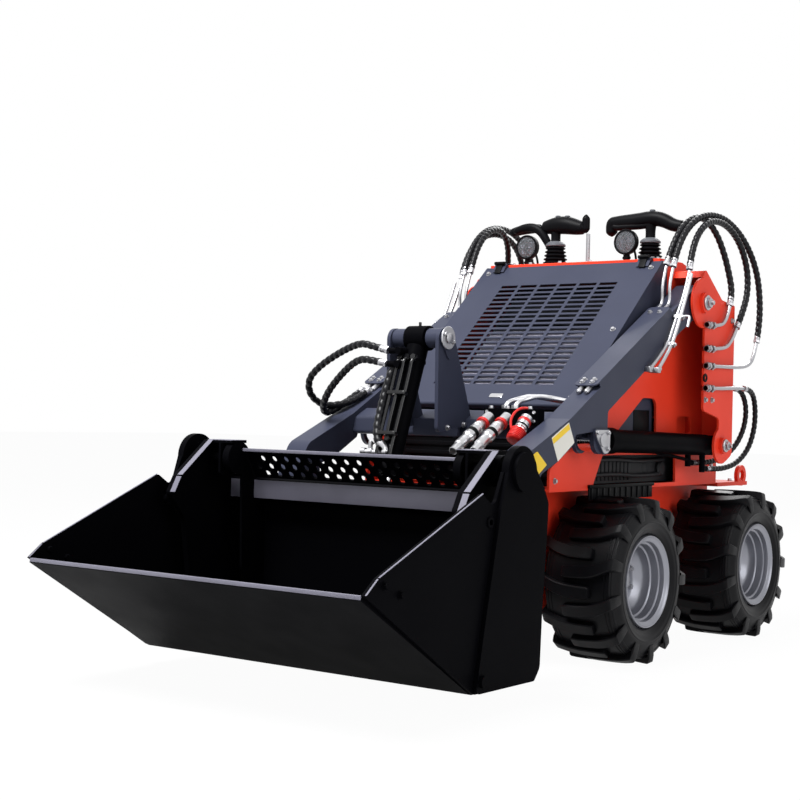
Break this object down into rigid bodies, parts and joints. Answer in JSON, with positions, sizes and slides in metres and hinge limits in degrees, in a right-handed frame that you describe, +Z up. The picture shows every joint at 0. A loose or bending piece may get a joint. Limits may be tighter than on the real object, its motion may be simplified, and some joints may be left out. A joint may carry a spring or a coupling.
{
  "type": "compact skid steer loader",
  "caption": "Compact ride-behind skid steer loader with lift arms, a tilting four-in-one clam bucket, four lug tyres, slotted hood and a folding rider's platform.",
  "frame": {"origin": "on the ground under the middle of the machine's overall box", "axes": "+X to the machine's left, -Y forward towards the bucket, +Z up"},
  "size_m": [1.198, 2.603, 1.4825],
  "materials": {
    "red_paint": "gloss powder coat",
    "slate_paint": "satin powder coat",
    "black_steel": "semi-gloss paint",
    "dark_iron": "rough paint",
    "chrome": "polished",
    "tyre": "moulded rubber",
    "rim": "silver enamel",
    "black_plastic": "matt moulded",
    "zinc": "bright plating",
    "hose_rubber": "satin"
  },
  "bodies": {
    "chassis": {"lower_frame": "red_paint", "wheel_motors": "dark_iron", "engine": "dark_iron", "side_panel_left": "red_paint", "side_panel_right": "red_paint", "hood": "slate_paint", "deck": "red_paint", "rear_panel": "red_paint", "rear_bumper": "red_paint", "headlamps": "black_plastic", "control_levers": "black_plastic", "service_tubes": "zinc", "arm_hoses": "hose_rubber", "lift_hoses": "hose_rubber"},
    "wheel_front_left": {"tyre_front_left": "tyre", "rim_front_left": "rim"},
    "wheel_front_right": {"tyre_front_right": "tyre", "rim_front_right": "rim"},
    "wheel_rear_left": {"tyre_rear_left": "tyre", "rim_rear_left": "rim"},
    "wheel_rear_right": {"tyre_rear_right": "tyre", "rim_rear_right": "rim"},
    "arms": {"arm_left": "slate_paint", "arm_right": "slate_paint", "cross_member": "slate_paint", "arm_tubes": "zinc", "coupler_block": "black_steel", "quick_couplers": "zinc", "tilt_hoses": "hose_rubber"},
    "lift_barrel_left": {"lift_barrel_left": "black_steel"},
    "lift_rod_left": {"lift_rod_left": "chrome"},
    "lift_barrel_right": {"lift_barrel_right": "black_steel"},
    "lift_rod_right": {"lift_rod_right": "chrome"},
    "tilt_barrel": {"tilt_barrel": "black_steel"},
    "tilt_rod": {"tilt_rod": "chrome"},
    "bucket_head": {"attach_frame": "black_steel", "moldboard": "black_steel", "guard": "black_steel"},
    "jaw": {"jaw": "black_steel"},
    "jaw_barrel_left": {"jaw_barrel_left": "black_steel"},
    "jaw_rod_left": {"jaw_rod_left": "chrome"},
    "jaw_barrel_right": {"jaw_barrel_right": "black_steel"},
    "jaw_rod_right": {"jaw_rod_right": "chrome"},
    "platform": {"platform": "dark_iron"}
  },
  "joints": [
    {"name": "wheel_front_left_spin", "type": "hinge", "parent": "chassis", "child": "wheel_front_left", "pos_m": [0, 0.2135, 0.257], "axis": [1, 0, 0], "continuous": true},
    {"name": "wheel_front_right_spin", "type": "hinge", "parent": "chassis", "child": "wheel_front_right", "pos_m": [0, 0.2135, 0.257], "axis": [1, 0, 0], "continuous": true},
    {"name": "wheel_rear_left_spin", "type": "hinge", "parent": "chassis", "child": "wheel_rear_left", "pos_m": [0, 1.0335, 0.257], "axis": [1, 0, 0], "continuous": true},
    {"name": "wheel_rear_right_spin", "type": "hinge", "parent": "chassis", "child": "wheel_rear_right", "pos_m": [0, 1.0335, 0.257], "axis": [1, 0, 0], "continuous": true},
    {"name": "arm_lift", "type": "hinge", "parent": "chassis", "child": "arms", "pos_m": [0, 0.6765, 1.15], "axis": [-1, 0, 0], "range_deg": [0, 62], "deforming": ["arm_hoses"]},
    {"name": "lift_swing_left", "type": "hinge", "parent": "chassis", "child": "lift_barrel_left", "pos_m": [0.4, 0.8435, 0.672], "axis": [-1, 0, 0], "range_deg": [0, 42.77], "deforming": ["lift_hoses"]},
    {"name": "lift_extend_left", "type": "slide", "parent": "lift_barrel_left", "child": "lift_rod_left", "axis": [0, -0.9998, 0.0218], "range_m": [0, 0.3969]},
    {"name": "lift_swing_right", "type": "hinge", "parent": "chassis", "child": "lift_barrel_right", "pos_m": [-0.4, 0.8435, 0.672], "axis": [-1, 0, 0], "range_deg": [0, 42.77]},
    {"name": "lift_extend_right", "type": "slide", "parent": "lift_barrel_right", "child": "lift_rod_right", "axis": [0, -0.9998, 0.0218], "range_m": [0, 0.3969]},
    {"name": "bucket_tilt", "type": "hinge", "parent": "arms", "child": "bucket_head", "pos_m": [0, -0.3795, 0.274], "axis": [1, 0, 0], "range_deg": [0, 75]},
    {"name": "tilt_swing", "type": "hinge", "parent": "arms", "child": "tilt_barrel", "pos_m": [-0.03, -0.2695, 0.985], "axis": [-1, 0, 0], "range_deg": [0, 1.58]},
    {"name": "tilt_extend", "type": "slide", "parent": "tilt_barrel", "child": "tilt_rod", "axis": [0, -0.3473, -0.9377], "range_m": [0, 0.2368]},
    {"name": "jaw_open", "type": "hinge", "parent": "bucket_head", "child": "jaw", "pos_m": [0, -0.6585, 0.612], "axis": [-1, 0, 0], "range_deg": [0, 55]},
    {"name": "jaw_swing_left", "type": "hinge", "parent": "bucket_head", "child": "jaw_barrel_left", "pos_m": [0.536, -0.5465, 0.13], "axis": [1, 0, 0], "range_deg": [0, 13.18]},
    {"name": "jaw_extend_left", "type": "slide", "parent": "jaw_barrel_left", "child": "jaw_rod_left", "axis": [0, -0.3304, 0.9439], "range_m": [0, 0.1226]},
    {"name": "jaw_swing_right", "type": "hinge", "parent": "bucket_head", "child": "jaw_barrel_right", "pos_m": [-0.536, -0.5465, 0.13], "axis": [1, 0, 0], "range_deg": [0, 13.18]},
    {"name": "jaw_extend_right", "type": "slide", "parent": "jaw_barrel_right", "child": "jaw_rod_right", "axis": [0, -0.3304, 0.9439], "range_m": [0, 0.1226]},
    {"name": "platform_fold", "type": "hinge", "parent": "chassis", "child": "platform", "pos_m": [0, 1.2435, 0.262], "axis": [-1, 0, 0], "range_deg": [0, 88]}
  ],
  "couplings": [
    {"joint": "lift_swing_left", "follows": "arm_lift", "ratio": 0.685},
    {"joint": "lift_extend_left", "follows": "arm_lift", "m_per_rad": 0.36493},
    {"joint": "lift_swing_right", "follows": "arm_lift", "ratio": 0.685},
    {"joint": "lift_extend_right", "follows": "arm_lift", "m_per_rad": 0.36493},
    {"joint": "tilt_swing", "follows": "bucket_tilt", "ratio": 0.017083},
    {"joint": "tilt_extend", "follows": "bucket_tilt", "m_per_rad": 0.17935},
    {"joint": "jaw_swing_left", "follows": "jaw_open", "ratio": 0.23412},
    {"joint": "jaw_extend_left", "follows": "jaw_open", "m_per_rad": 0.12563},
    {"joint": "jaw_swing_right", "follows": "jaw_open", "ratio": 0.23412},
    {"joint": "jaw_extend_right", "follows": "jaw_open", "m_per_rad": 0.12563}
  ]
}
